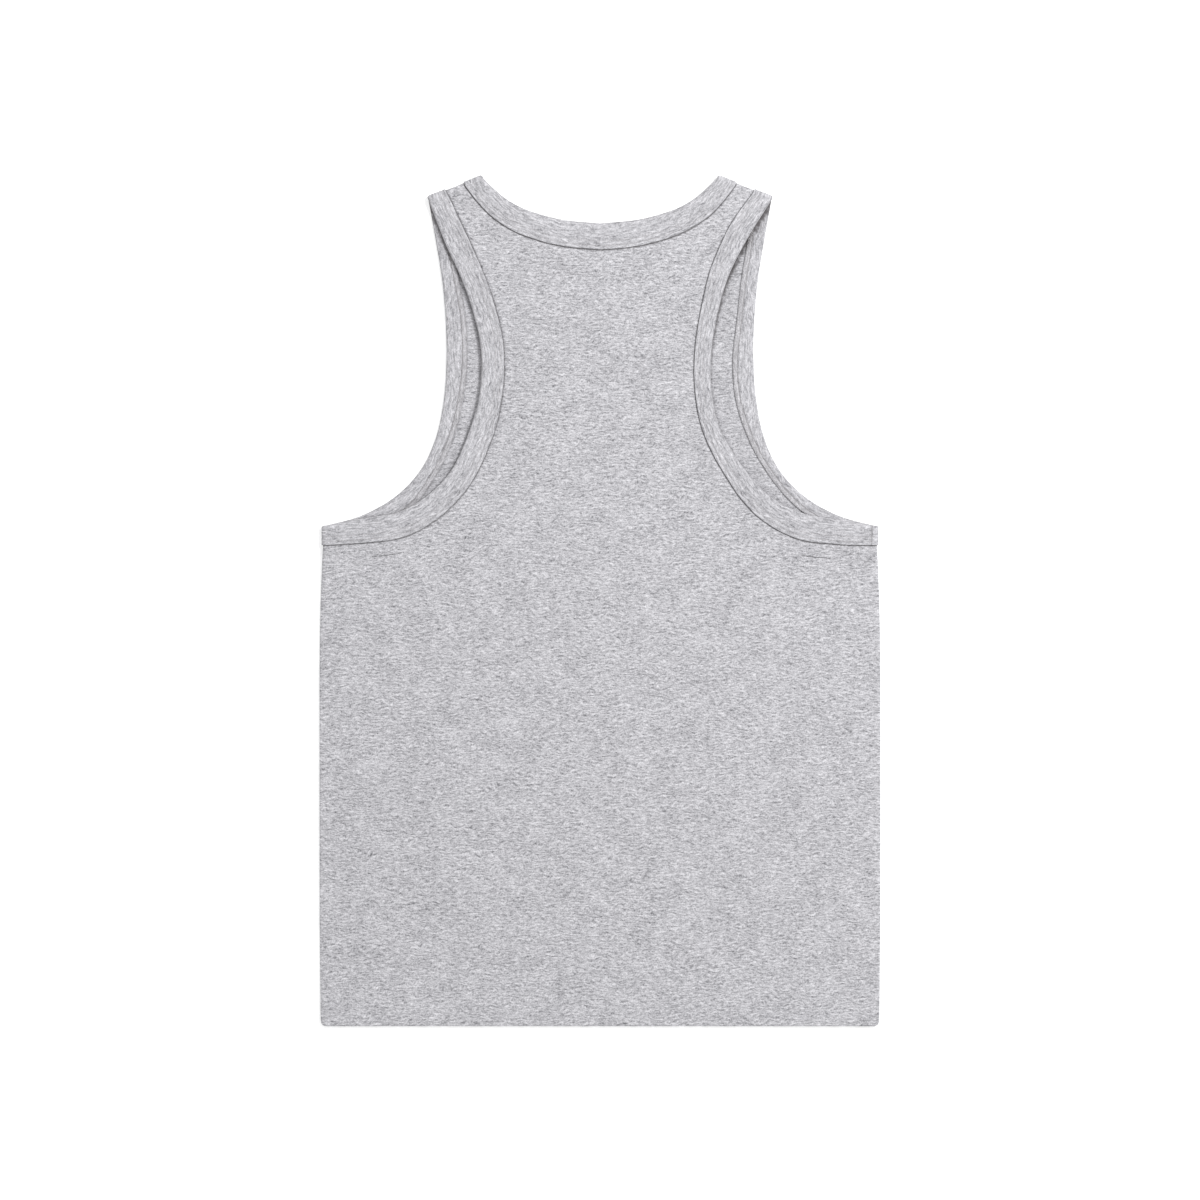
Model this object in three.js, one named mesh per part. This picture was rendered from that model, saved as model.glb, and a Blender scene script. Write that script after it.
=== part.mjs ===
// A jersey tank top laid flat with its front panel down and its back panel up.
// Five sewn pieces: front panel, back panel, a neck band and two armhole bands.
// Each band is a folded strip that takes the raw edge of both panels between its two legs,
// and runs in one closed loop round the neck or the armhole, over the shoulder and side folds.
// Units are millimetres. X runs across the garment, Y from hem to shoulder, Z up from the surface.
import * as THREE from "three";
import { mergeVertices } from "three/addons/utils/BufferGeometryUtils.js";

// Cloth
const PANEL_WALL = 1.0;
const BAND_WALL = 1.0;
const SEAM_GAP = 0.3;
const HEM_PLY = 0.9;
const HEM_DEPTH = 20;
const HEM_STEP = 1.5;
const LEG_LEVEL = PANEL_WALL / 2 + SEAM_GAP; // inner face of a band's leg, from the panel's middle
const BAND_LEVEL = LEG_LEVEL + BAND_WALL; // outer face of a band's leg
const RAW_EDGE = BAND_WALL + SEAM_GAP; // the panel's raw edge, inside the band's fold
const INNER_LEG_EXTRA = 1.0; // the leg on the wrong side is cut this much wider
const EDGE_ROUND = { in: 0.4, level: 0.72 * BAND_LEVEL }; // a corner of the band's rounded fold

// Heights of the panels' middle surfaces over the table
const FRONT_LOW = PANEL_WALL / 2;
const FRONT_LIFT = BAND_LEVEL - FRONT_LOW; // a band's lower leg lifts the front panel this much
const BACK_LOW = 2.6;
const BACK_OVER_BAND = 2.6; // the back panel climbs this much over the front panel's bands
const BACK_OWN_BAND = 0.7; // and this much more where it has a band of its own
const BACK_OVER_HEM = 1.0;
const HEM_FADE = 35;

// How far each lift reaches past a band's seam, and how long it takes to fade
const OWN_FLAT = 2;
const OWN_FADE = 12;
const ARM_FLAT = 4;
const ARM_FADE = 26;
const NECK_FLAT = 16;
const NECK_FADE = 26;
const SHOULDER_FLAT = 12;
const SHOULDER_FADE = 30;

// Shoulder: the ends of its fold line, where the neck's and the armhole's edges meet it
const SHOULDER_NECK = { half: 100.2, y: 729.3 };
const SHOULDER_ARM = { half: 147.6, y: 710.8 };
const PIT_Y = 430.9;

// Side seam: half width of the panels at each height above the hem
const SIDE = [
  { y: 0, half: 238.6 },
  { y: 1.2, half: 239.9 },
  { y: 3.5, half: 240.5 },
  { y: 92, half: 241.4 },
  { y: 200, half: 241.5 },
  { y: 298, half: 241.5 },
  { y: 333, half: 241.2 },
  { y: 367, half: 240.5 },
  { y: 400, half: 239.2 },
  { y: 412, half: 238.3 },
  { y: PIT_Y, half: 238.3 },
];
const HEM_ROWS = [0, 1.2, 3.5, 10, HEM_DEPTH, HEM_DEPTH + HEM_STEP];
const SIDE_ROWS = [...HEM_ROWS, 45, 80, 130, 180, 230, 280, 320, 355, 380];

// Armhole edges from the pit to the shoulder, with the band's width at each point
const FRONT_ARM = [
  { half: 235.7, y: PIT_Y, left: 17, right: 17 },
  { half: 205, y: 439.6, left: 18, right: 13 },
  { half: 176, y: 456, left: 16.5, right: 10.5 },
  { half: 154.2, y: 479, left: 13, right: 9 },
  { half: 141, y: 507.5, left: 13.5, right: 12 },
  { half: 134.4, y: 540, left: 15.5, right: 16.5 },
  { half: 132.2, y: 573.6, left: 17, right: 17 },
  { half: 132.9, y: 608, left: 16.5, right: 14 },
  { half: 136, y: 642.4, left: 13.5, right: 13.3 },
  { half: 141.2, y: 675, left: 13, right: 13.3 },
  { half: SHOULDER_ARM.half, y: SHOULDER_ARM.y, left: 17, right: 17 },
];
const BACK_ARM_LEFT = [
  { half: 235.7, y: PIT_Y, width: 17 },
  { half: 205, y: 436.9, width: 21 },
  { half: 173.2, y: 442.7, width: 22 },
  { half: 147, y: 458, width: 21 },
  { half: 126.4, y: 480.9, width: 20 },
  { half: 111.5, y: 515, width: 20.5 },
  { half: 103.3, y: 547, width: 19.5 },
  { half: 102.5, y: 582, width: 19.5 },
  { half: 109.2, y: 614.3, width: 19.5 },
  { half: 119.2, y: 643, width: 19.3 },
  { half: 133.1, y: 673.6, width: 19.5 },
  { half: SHOULDER_ARM.half, y: SHOULDER_ARM.y, width: 17 },
];
const BACK_ARM_RIGHT = [
  { half: 235.7, y: PIT_Y, width: 17 },
  { half: 205, y: 435.9, width: 21.2 },
  { half: 175.6, y: 441.2, width: 22.3 },
  { half: 147, y: 455.5, width: 20 },
  { half: 124, y: 480, width: 17 },
  { half: 104, y: 513, width: 14.8 },
  { half: 96.2, y: 546, width: 14.2 },
  { half: 96, y: 580, width: 14.4 },
  { half: 101.5, y: 614, width: 14.8 },
  { half: 110.5, y: 645, width: 16.4 },
  { half: 126.5, y: 677, width: 18.4 },
  { half: SHOULDER_ARM.half, y: SHOULDER_ARM.y, width: 17 },
];

// Neck edges from the centre to the shoulder
const BACK_NECK = [
  { half: 0, y: 691, width: 22.8 },
  { half: 32, y: 694, width: 22.5 },
  { half: 59.3, y: 700.9, width: 21.4 },
  { half: 77, y: 709.2, width: 20 },
  { half: 90, y: 719.3, width: 18.4 },
  { half: SHOULDER_NECK.half, y: SHOULDER_NECK.y, width: 17 },
];
const FRONT_NECK = [
  { half: 0, y: 612, width: 20 },
  { half: 34, y: 617, width: 20 },
  { half: 62, y: 634, width: 19.5 },
  { half: 80, y: 661, width: 19 },
  { half: 91, y: 693, width: 18 },
  { half: SHOULDER_NECK.half, y: SHOULDER_NECK.y, width: 17 },
];

// How finely the shapes are cut
const ARM_STEPS = 26;
const NECK_STEPS = 8; // on each half
const COLUMNS = 6; // on each half
const TURN_STATIONS = 2; // over which a band turns towards the direction of its fold
const STRIP_SHARE = 0.3; // of the cloth between two bands, taken by the strip beside each
const NARROW_STRIP = 3;
const FOLD_ANGLES = [30, 60, 90].map(THREE.MathUtils.degToRad);
const MERGE = 1e-3; // points nearer than this are one

const smooth = (from, to, value) => THREE.MathUtils.smoothstep(value, from, to);

// Stations along an edge: its point, the direction into the cloth, and the band's width there.
// Turn is 1 where the cloth lies to the left of the edge on the right half, and -1 on its right.
// The first and last directions are given, because there the band turns over a fold.
function stationsOf(rows, widthName, half, turn, steps, firstInward, lastInward) {
  const curve = new THREE.SplineCurve(rows.map((row) => new THREE.Vector2(half * row.half, row.y)));
  const widths = new THREE.SplineCurve(rows.map((row, i) => new THREE.Vector2(i, row[widthName])));
  return Array.from({ length: steps + 1 }, (_, i) => {
    const share = curve.getUtoTmapping(i / steps);
    const tangent = curve.getTangent(share);
    const inward = new THREE.Vector2(-tangent.y, tangent.x).multiplyScalar(turn * half);
    const blend = 1 - Math.min(1, Math.min(i, steps - i) / TURN_STATIONS);
    inward.lerp(i < steps / 2 ? firstInward : lastInward, blend).normalize();
    return { edge: curve.getPoint(share), inward, width: widths.getPoint(share).y };
  });
}

// Directions along the shoulder's fold line, from the armhole to the neck, and off the strap's end.
const run = new THREE.Vector2(SHOULDER_ARM.half, SHOULDER_ARM.y)
  .sub(new THREE.Vector2(SHOULDER_NECK.half, SHOULDER_NECK.y))
  .normalize();
const shoulderInward = (half) => new THREE.Vector2(-half * run.x, -run.y);
const shoulderOutward = (half) => new THREE.Vector2(-half * run.y, run.x);
const DOWN = new THREE.Vector2(0, -1);

const armRows = {
  back: { [-1]: [BACK_ARM_LEFT, "width"], [1]: [BACK_ARM_RIGHT, "width"] },
  front: { [-1]: [FRONT_ARM, "left"], [1]: [FRONT_ARM, "right"] },
};
const neckRows = { back: BACK_NECK, front: FRONT_NECK };

function armStations(layer, half) {
  const [rows, widthName] = armRows[layer][half];
  return stationsOf(rows, widthName, half, 1, ARM_STEPS, DOWN, shoulderInward(half));
}

function neckStations(layer, half) {
  return stationsOf(neckRows[layer], "width", half, -1, NECK_STEPS, DOWN, shoulderInward(half).negate());
}

const HALVES = [-1, 1];
const edges = {};
for (const layer of ["front", "back"]) {
  edges[layer] = {
    arm: { [-1]: armStations(layer, -1), [1]: armStations(layer, 1) },
    neck: { [-1]: neckStations(layer, -1), [1]: neckStations(layer, 1) },
  };
}

// Distance from a point to the nearest stretch of an edge, less the band's width there.
function pastSeam(stations, x, y) {
  let nearest = Infinity;
  let past = Infinity;
  for (let i = 1; i < stations.length; i++) {
    const a = stations[i - 1];
    const b = stations[i];
    const dx = b.edge.x - a.edge.x;
    const dy = b.edge.y - a.edge.y;
    const dot = (x - a.edge.x) * dx + (y - a.edge.y) * dy;
    const along = THREE.MathUtils.clamp(dot / (dx * dx + dy * dy), 0, 1);
    const distance = Math.hypot(x - a.edge.x - along * dx, y - a.edge.y - along * dy);
    if (distance < nearest) {
      nearest = distance;
      past = distance - THREE.MathUtils.lerp(a.width, b.width, along);
    }
  }
  return past;
}

// 1 at the shoulder's fold line, where both layers lie on bands, and 0 well below it.
function nearShoulder(x, y) {
  const half = Math.sign(x) || 1;
  const corner = new THREE.Vector2(half * SHOULDER_ARM.half, SHOULDER_ARM.y);
  const below = corner.sub(new THREE.Vector2(x, y)).dot(shoulderOutward(half));
  return 1 - smooth(SHOULDER_FLAT, SHOULDER_FLAT + SHOULDER_FADE, below);
}

// 1 where a layer's bands lie, fading to 0 past their seams.
function bandLift(layer, x, y, armFlat, armFade, neckFlat, neckFade) {
  const half = Math.sign(x) || 1;
  const arm = pastSeam(edges[layer].arm[half], x, y);
  const neck = pastSeam(edges[layer].neck[half], x, y);
  return Math.max(
    1 - smooth(armFlat, armFlat + armFade, arm),
    1 - smooth(neckFlat, neckFlat + neckFade, neck),
    nearShoulder(x, y),
  );
}

// Height of a panel's middle surface.
const middle = {
  front: (x, y) => FRONT_LOW + FRONT_LIFT * bandLift("front", x, y, OWN_FLAT, OWN_FADE, OWN_FLAT, OWN_FADE),
  back: (x, y) =>
    BACK_LOW +
    BACK_OVER_BAND * bandLift("front", x, y, ARM_FLAT, ARM_FADE, NECK_FLAT, NECK_FADE) +
    BACK_OWN_BAND * bandLift("back", x, y, OWN_FLAT, OWN_FADE, OWN_FLAT, OWN_FADE) +
    BACK_OVER_HEM * (1 - smooth(HEM_DEPTH + HEM_STEP, HEM_DEPTH + HEM_STEP + HEM_FADE, y)),
};
const OUTSIDE = { front: -1, back: 1 }; // which way the garment's outside faces

// Half width of the panels at a height above the hem.
function sideHalf(y) {
  const above = Math.max(1, SIDE.findIndex((row) => row.y >= y - MERGE));
  const [a, b] = [SIDE[above - 1], SIDE[above]];
  return THREE.MathUtils.lerp(a.half, b.half, (y - a.y) / (b.y - a.y));
}

// Half circle that joins the two layers at a point of a fold line.
function foldAt(x, y) {
  const [low, high] = [middle.front(x, y), middle.back(x, y)];
  return { radius: (high - low) / 2, centre: (high + low) / 2 };
}

// The side's fold line lies inside the outline by the fold's own radius.
function sideLine(half, y) {
  const { radius } = foldAt(half * sideHalf(y), y);
  return half * (sideHalf(y) - radius - PANEL_WALL / 2);
}

const innerPly = (y) => HEM_PLY * (1 - smooth(HEM_DEPTH, HEM_DEPTH + HEM_STEP, y));

// A point of a panel's wall, as a pair on its outside and inside faces.
function wallPair(layer, x, y) {
  const z = middle[layer](x, y);
  const out = OUTSIDE[layer] * (PANEL_WALL / 2);
  const extra = OUTSIDE[layer] * innerPly(y);
  return { outer: new THREE.Vector3(x, y, z + out), inner: new THREE.Vector3(x, y, z - out - extra) };
}

// The same on the fold, at an angle from flat, where outward is the direction off the fold line.
function foldPair(layer, x, y, outward, angle) {
  const { radius, centre } = foldAt(x, y);
  const at = (r) => {
    const z = centre + OUTSIDE[layer] * Math.max(r * Math.cos(angle), SEAM_GAP / 2);
    return new THREE.Vector3(x + outward.x * r * Math.sin(angle), y + outward.y * r * Math.sin(angle), z);
  };
  return { outer: at(radius + PANEL_WALL / 2), inner: at(radius - PANEL_WALL / 2 - innerPly(y)) };
}

const sideOutward = (half) => new THREE.Vector2(half, 0);

// How far the fine strip beside a band reaches, as far as the band across the cloth leaves room.
function stripReach(across, { edge, width }) {
  const clear = pastSeam(across, edge.x, edge.y) - width - 2 * INNER_LEG_EXTRA;
  return THREE.MathUtils.clamp(clear * STRIP_SHARE, NARROW_STRIP, OWN_FADE);
}

// The point at a distance in from the edge. At the pit it is on the side's fold line.
function inFrom({ edge, inward }, n, atPit, half) {
  const point = edge.clone().addScaledVector(inward, n);
  if (atPit) point.x = sideLine(half, point.y);
  return point;
}

// Places in from the edge, at one station: the raw edge, the wide leg's end, and the strip's end.
function stripPoints(station, across, atPit, half) {
  const legEnd = station.width + INNER_LEG_EXTRA;
  return [RAW_EDGE, legEnd, legEnd + stripReach(across, station)].map((n) => inFrom(station, n, atPit, half));
}

// A strip of wall along an edge, from the pit's fold or the centre to over the shoulder's fold.
function strip(layer, stations, across, half, startsAtPit) {
  const atPit = (i) => startsAtPit && i === 0;
  const flat = stations.map((station, i) => stripPoints(station, across, atPit(i), half));
  const rows = flat.map((row) => row.map((p) => wallPair(layer, p.x, p.y)));
  const foldRow = (row, outward, angle) => row.map((p) => foldPair(layer, p.x, p.y, outward, angle));
  for (const angle of FOLD_ANGLES) {
    rows.push(foldRow(flat.at(-1), shoulderOutward(half), angle));
    if (startsAtPit) rows.unshift(foldRow(flat[0], sideOutward(half), angle));
  }
  return { rows, innerEnds: flat.map((row) => row.at(-1)) };
}

// The rest of a half panel, in rows from the side or armhole strip to the centre line or neck strip.
function bodyPatches(layer, half, armEnds, neckEnds) {
  const sideEnds = SIDE_ROWS.map((y) => new THREE.Vector2(sideLine(half, y), y));
  const centreLow = SIDE_ROWS.map((y) => new THREE.Vector2(0, y));
  const climb = ARM_STEPS - NECK_STEPS;
  const centreHigh = Array.from({ length: climb }, (_, i) => {
    const share = (i + 1) / (climb + 1);
    return new THREE.Vector2(0, THREE.MathUtils.lerp(SIDE_ROWS.at(-1), neckEnds[0].y, share));
  });
  const outer = [...sideEnds, ...armEnds];
  const inner = [...centreLow, ...centreHigh, ...neckEnds];
  const across = (r) => {
    const place = (_, c) => outer[r].clone().lerp(inner[r], c / COLUMNS);
    return Array.from({ length: COLUMNS + 1 }, place);
  };
  const main = outer.map((_, r) => across(r).map((p) => wallPair(layer, p.x, p.y)));
  const fold = [...sideEnds, armEnds[0]].map((p) => [
    wallPair(layer, p.x, p.y),
    ...FOLD_ANGLES.map((angle) => foldPair(layer, p.x, p.y, sideOutward(half), angle)),
  ]);
  const top = across(outer.length - 1);
  const overTop = (angle) => top.map((p) => foldPair(layer, p.x, p.y, shoulderOutward(half), angle));
  return [main, fold, [main.at(-1), ...FOLD_ANGLES.map(overTop)]];
}

// A closed shape from loose triangles, with its points joined and its faces turned outwards.
function solidGeometry(triangles) {
  const positions = triangles.flatMap((t) => t.flatMap((p) => [p.x, p.y, p.z]));
  const loose = new THREE.BufferGeometry();
  loose.setAttribute("position", new THREE.Float32BufferAttribute(positions, 3));
  const merged = mergeVertices(loose, MERGE);
  const index = merged.index.array;
  const position = merged.attributes.position;
  const kept = [];
  let volume = 0;
  const [a, b, c] = [new THREE.Vector3(), new THREE.Vector3(), new THREE.Vector3()];
  for (let i = 0; i < index.length; i += 3) {
    const [p, q, r] = [index[i], index[i + 1], index[i + 2]];
    if (p === q || q === r || r === p) continue;
    kept.push(p, q, r);
    a.fromBufferAttribute(position, p);
    b.fromBufferAttribute(position, q);
    c.fromBufferAttribute(position, r);
    volume += a.dot(b.cross(c));
  }
  if (volume < 0) kept.reverse();
  merged.setIndex(kept);
  merged.computeVertexNormals();
  return merged;
}

// Two triangles, split along the shorter diagonal, so that parallel walls split alike.
function quad(a, b, c, d) {
  const acrossFirst = a.distanceToSquared(c) <= b.distanceToSquared(d);
  return acrossFirst ? [[a, b, c], [a, c, d]] : [[b, c, d], [b, d, a]];
}

// A wall from patches of outside and inside points: both faces, and a rim along every free edge.
function wallGeometry(patches) {
  const triangles = [];
  const free = new Map();
  const key = (pair) => [pair.outer.x, pair.outer.y, pair.outer.z].map((v) => Math.round(v / MERGE)).join();
  const note = (a, b) => {
    const back = key(b) + "|" + key(a);
    if (free.has(back)) free.delete(back);
    else free.set(key(a) + "|" + key(b), [a, b]);
  };
  for (const { rows, flip } of patches)
    for (let r = 1; r < rows.length; r++)
      for (let c = 1; c < rows[r].length; c++) {
        let corners = [rows[r - 1][c - 1], rows[r - 1][c], rows[r][c], rows[r][c - 1]];
        if (flip) corners = corners.reverse();
        const [p, q, s, t] = corners;
        triangles.push(...quad(p.outer, q.outer, s.outer, t.outer), ...quad(t.inner, s.inner, q.inner, p.inner));
        for (const [a, b] of [[p, q], [q, s], [s, t], [t, p]]) note(a, b);
      }
  for (const [a, b] of free.values()) triangles.push(...quad(b.outer, a.outer, a.inner, b.inner));
  return solidGeometry(triangles);
}

function panelGeometry(layer) {
  const patches = [];
  for (const half of HALVES) {
    const [armEdge, neckEdge] = [edges[layer].arm[half], edges[layer].neck[half]];
    const arm = strip(layer, armEdge, neckEdge, half, true);
    const neck = strip(layer, neckEdge, armEdge, half, false);
    const [main, fold, shoulder] = bodyPatches(layer, half, arm.innerEnds, neck.innerEnds);
    const flip = half < 0;
    patches.push({ rows: main, flip }, { rows: fold, flip: !flip }, { rows: shoulder, flip });
    patches.push({ rows: arm.rows, flip }, { rows: neck.rows, flip: !flip });
  }
  return wallGeometry(patches);
}

// The band's section: n is the distance in from the folded edge, b the height off the panel's
// middle, positive on the garment's outside.
function bandSection(width) {
  const wrong = width + INNER_LEG_EXTRA;
  return [
    { n: width, b: BAND_LEVEL },
    { n: RAW_EDGE, b: BAND_LEVEL },
    { n: EDGE_ROUND.in, b: EDGE_ROUND.level },
    { n: 0, b: 0 },
    { n: EDGE_ROUND.in, b: -EDGE_ROUND.level },
    { n: RAW_EDGE, b: -BAND_LEVEL },
    { n: wrong, b: -BAND_LEVEL },
    { n: wrong, b: -LEG_LEVEL },
    { n: BAND_WALL, b: -LEG_LEVEL },
    { n: BAND_WALL, b: LEG_LEVEL },
    { n: width, b: LEG_LEVEL },
  ];
}

// Between the raw edge and the wide leg's end the panel is straight, and the band follows it.
function alongLeg(station, n, atPit, half, valueAt) {
  const legEnd = station.width + INNER_LEG_EXTRA;
  const [from, to] = [RAW_EDGE, legEnd].map((m) => inFrom(station, m, atPit, half));
  const share = (n - RAW_EDGE) / (legEnd - RAW_EDGE);
  return THREE.MathUtils.lerp(valueAt(from.x, from.y), valueAt(to.x, to.y), Math.max(0, share));
}

// The band's outline at a station on one of the layers.
function flatRing(layer, station, atPit, half) {
  return bandSection(station.width).map(({ n, b }) => {
    const p = inFrom(station, n, atPit, half);
    const z = alongLeg(station, n, atPit, half, middle[layer]);
    return new THREE.Vector3(p.x, p.y, z + OUTSIDE[layer] * b);
  });
}

// Rings over a fold, from the back layer to the front layer.
function foldRings(station, outward, atPit, half) {
  const angles = [...FOLD_ANGLES, ...FOLD_ANGLES.slice(0, -1).reverse().map((a) => Math.PI - a)];
  return angles.map((angle) =>
    bandSection(station.width).map(({ n, b }) => {
      const p = inFrom(station, n, atPit, half);
      const radius = alongLeg(station, n, atPit, half, (x, y) => foldAt(x, y).radius);
      const centre = alongLeg(station, n, atPit, half, (x, y) => foldAt(x, y).centre);
      const reach = (radius + b) * Math.sin(angle);
      const z = centre + (radius + b) * Math.cos(angle);
      return new THREE.Vector3(p.x + outward.x * reach, p.y + outward.y * reach, z);
    }),
  );
}

// A closed loop of rings, each a closed outline.
function loopGeometry(rings) {
  const triangles = [];
  rings.forEach((ring, i) => {
    const next = rings[(i + 1) % rings.length];
    ring.forEach((p, j) => {
      const k = (j + 1) % ring.length;
      triangles.push(...quad(p, ring[k], next[k], next[j]));
    });
  });
  return solidGeometry(triangles);
}

function armBandGeometry(half) {
  const { back, front } = edges;
  const up = back.arm[half].map((s, i) => flatRing("back", s, i === 0, half));
  const over = foldRings(back.arm[half].at(-1), shoulderOutward(half), false, half);
  const down = front.arm[half].map((s, i) => flatRing("front", s, i === 0, half)).reverse();
  const under = foldRings(back.arm[half][0], sideOutward(half), true, half).reverse();
  return loopGeometry([...up, ...over, ...down, ...under]);
}

function neckBandGeometry() {
  const across = (layer) => [...edges[layer].neck[-1].slice(1).reverse(), ...edges[layer].neck[1]];
  const backRings = across("back").map((s) => flatRing("back", s, false, 1));
  const frontRings = across("front").map((s) => flatRing("front", s, false, 1));
  const right = foldRings(edges.back.neck[1].at(-1), shoulderOutward(1), false, 1);
  const left = foldRings(edges.back.neck[-1].at(-1), shoulderOutward(-1), false, -1);
  return loopGeometry([...backRings, ...right, ...frontRings.reverse(), ...left.reverse()]);
}

const CLOTH_GREY = 0xc5c4c8;
const BAND_GREY = 0xc7c6ca;
const CLOTH_ROUGHNESS = 0.92;

function piece(name, geometry, colour) {
  const finish = { color: colour, roughness: CLOTH_ROUGHNESS, metalness: 0 };
  const material = new THREE.MeshStandardMaterial(finish);
  const mesh = new THREE.Mesh(geometry, material);
  mesh.name = name;
  return mesh;
}

const tankTop = new THREE.Group();
tankTop.add(piece("front_panel", panelGeometry("front"), CLOTH_GREY));
tankTop.add(piece("back_panel", panelGeometry("back"), CLOTH_GREY));
tankTop.add(piece("neck_band", neckBandGeometry(), BAND_GREY));
tankTop.add(piece("armhole_band_left", armBandGeometry(-1), BAND_GREY));
tankTop.add(piece("armhole_band_right", armBandGeometry(1), BAND_GREY));

// The origin is on the table, under the middle of the outline.
const outline = new THREE.Box3().setFromObject(tankTop);
const centre = outline.getCenter(new THREE.Vector3());
tankTop.position.set(-centre.x, -centre.y, 0);

export default tankTop;
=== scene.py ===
"""A heather grey jersey tank top, laid flat with its back up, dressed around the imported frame.

Every piece is a thin wall that follows its solid's form on a finer grid. Shapes are worked out in
millimetres: x across the garment, y from the hem to the shoulders, z up from the surface.
"""

import bpy
import numpy as np
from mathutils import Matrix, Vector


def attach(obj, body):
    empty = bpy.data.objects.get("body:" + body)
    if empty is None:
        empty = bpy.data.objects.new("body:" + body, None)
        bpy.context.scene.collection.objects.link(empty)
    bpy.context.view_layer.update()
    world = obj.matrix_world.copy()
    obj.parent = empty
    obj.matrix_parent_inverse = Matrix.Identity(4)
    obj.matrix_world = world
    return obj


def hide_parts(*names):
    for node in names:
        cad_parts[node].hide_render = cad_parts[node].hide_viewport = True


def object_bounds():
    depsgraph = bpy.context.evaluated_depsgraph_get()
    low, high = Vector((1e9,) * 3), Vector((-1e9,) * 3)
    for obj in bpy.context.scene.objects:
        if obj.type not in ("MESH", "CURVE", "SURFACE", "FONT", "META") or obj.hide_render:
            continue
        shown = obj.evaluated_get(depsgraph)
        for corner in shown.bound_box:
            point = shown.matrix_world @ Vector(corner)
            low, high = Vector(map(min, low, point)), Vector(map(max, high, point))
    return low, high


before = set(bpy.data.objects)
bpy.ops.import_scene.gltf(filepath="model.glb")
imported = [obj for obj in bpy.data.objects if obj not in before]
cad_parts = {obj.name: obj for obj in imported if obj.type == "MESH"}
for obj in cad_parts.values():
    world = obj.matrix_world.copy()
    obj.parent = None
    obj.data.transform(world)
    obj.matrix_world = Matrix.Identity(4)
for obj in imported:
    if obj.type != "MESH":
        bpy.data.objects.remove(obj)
cad_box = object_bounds()

MM = 0.001
HEM_LINE = cad_box[0][1] / MM  # the hem's place along the frame's Y

# Cloth, as in the solids
PANEL_WALL = 1.0
BAND_WALL = 1.0
SEAM_GAP = 0.12
HEM_PLY = 0.9
HEM_DEPTH = 20
HEM_STEP = 1.5
LEG_LEVEL = 0.8
BAND_LEVEL = 1.8
RAW_EDGE = 1.3
LEG_EXTRA = 1.0

# Heights of the panels' middle surfaces
FRONT_LOW = 0.5
FRONT_LIFT = 1.3
BACK_LOW = 2.6
BACK_OVER_BAND = 2.6
BACK_OWN_BAND = 0.7
BACK_OVER_HEM = 1.0
HEM_FADE = 35

# How far each lift reaches past a band's seam, and how long it takes to fade
OWN_REACH = (2, 14)
ARM_REACH = (4, 30)
NECK_REACH = (16, 42)
SHOULDER_REACH = (12, 42)
BLEND_POWER = 4  # how sharply the larger of two lifts wins

SHOULDER_NECK = (100.2, 729.3)
SHOULDER_ARM = (147.6, 710.8)
PIT = (235.7, 430.9)

# Height above the hem, half width of the panels
SIDE = [
    (0, 237.2), (0.6, 238.4), (1.6, 239.5), (3.2, 240.2), (5.5, 240.5), (92, 241.4), (200, 241.5),
    (298, 241.5), (333, 241.2), (367, 240.5), (400, 239.2), (412, 238.3), (430.9, 238.3),
]

# Edges as half width, height above the hem and the band's width
FRONT_ARM_LEFT = [
    (*PIT, 17), (205, 439.6, 18), (176, 456, 16.5), (154.2, 479, 13), (141, 507.5, 13.5),
    (134.4, 540, 15.5), (132.2, 573.6, 17), (132.9, 608, 16.5), (136, 642.4, 13.5),
    (141.2, 675, 13), (*SHOULDER_ARM, 17),
]
FRONT_ARM_RIGHT = [
    (*PIT, 17), (205, 439.6, 13), (176, 456, 10.5), (154.2, 479, 9), (141, 507.5, 12),
    (134.4, 540, 16.5), (132.2, 573.6, 17), (132.9, 608, 14), (136, 642.4, 13.3),
    (141.2, 675, 13.3), (*SHOULDER_ARM, 17),
]
BACK_ARM_LEFT = [
    (*PIT, 17), (205, 436.9, 21), (173.2, 442.7, 22), (147, 458, 21), (126.4, 480.9, 20),
    (111.5, 515, 20.5), (103.3, 547, 19.5), (102.5, 582, 19.5), (109.2, 614.3, 19.5),
    (119.2, 643, 19.3), (133.1, 673.6, 19.5), (*SHOULDER_ARM, 17),
]
BACK_ARM_RIGHT = [
    (*PIT, 17), (205, 435.9, 21.2), (175.6, 441.2, 22.3), (147, 455.5, 20), (124, 480, 17),
    (104, 513, 14.8), (96.2, 546, 14.2), (96, 580, 14.4), (101.5, 614, 14.8),
    (110.5, 645, 16.4), (126.5, 677, 18.4), (*SHOULDER_ARM, 17),
]
BACK_NECK = [
    (0, 691, 22.8), (32, 694, 22.5), (59.3, 700.9, 21.4), (77, 709.2, 20), (90, 719.3, 18.4),
    (*SHOULDER_NECK, 17),
]
FRONT_NECK = [
    (0, 612, 20), (34, 617, 20), (62, 634, 19.5), (80, 661, 19), (91, 693, 18),
    (*SHOULDER_NECK, 17),
]

# Soft swells of the back panel: place, length, width, height in mm, turn in degrees
SWELLS = [
    (-150, 118, 190, 34, 0.55, 12), (60, 70, 240, 40, 0.45, -6), (172, 205, 170, 30, 0.5, 62),
    (-60, 250, 260, 46, 0.4, 20), (90, 330, 220, 38, 0.45, -24), (-176, 335, 150, 26, 0.5, 74),
    (10, 430, 200, 40, 0.4, 5), (-50, 520, 160, 30, 0.35, 48), (58, 560, 150, 28, 0.35, -52),
    (0, 640, 150, 22, 0.3, 2), (205, 330, 120, 22, 0.45, 84), (-205, 190, 130, 22, 0.4, -80),
]
HALF_CHEST = 241
SWELL_FROM_SIDE = (0, 25)  # over which the swells rise, in from the side
SWELL_FROM_HEM = (0, 40)
SWELL_HELD = 0.7  # share of a swell that the bands beneath take away

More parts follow.
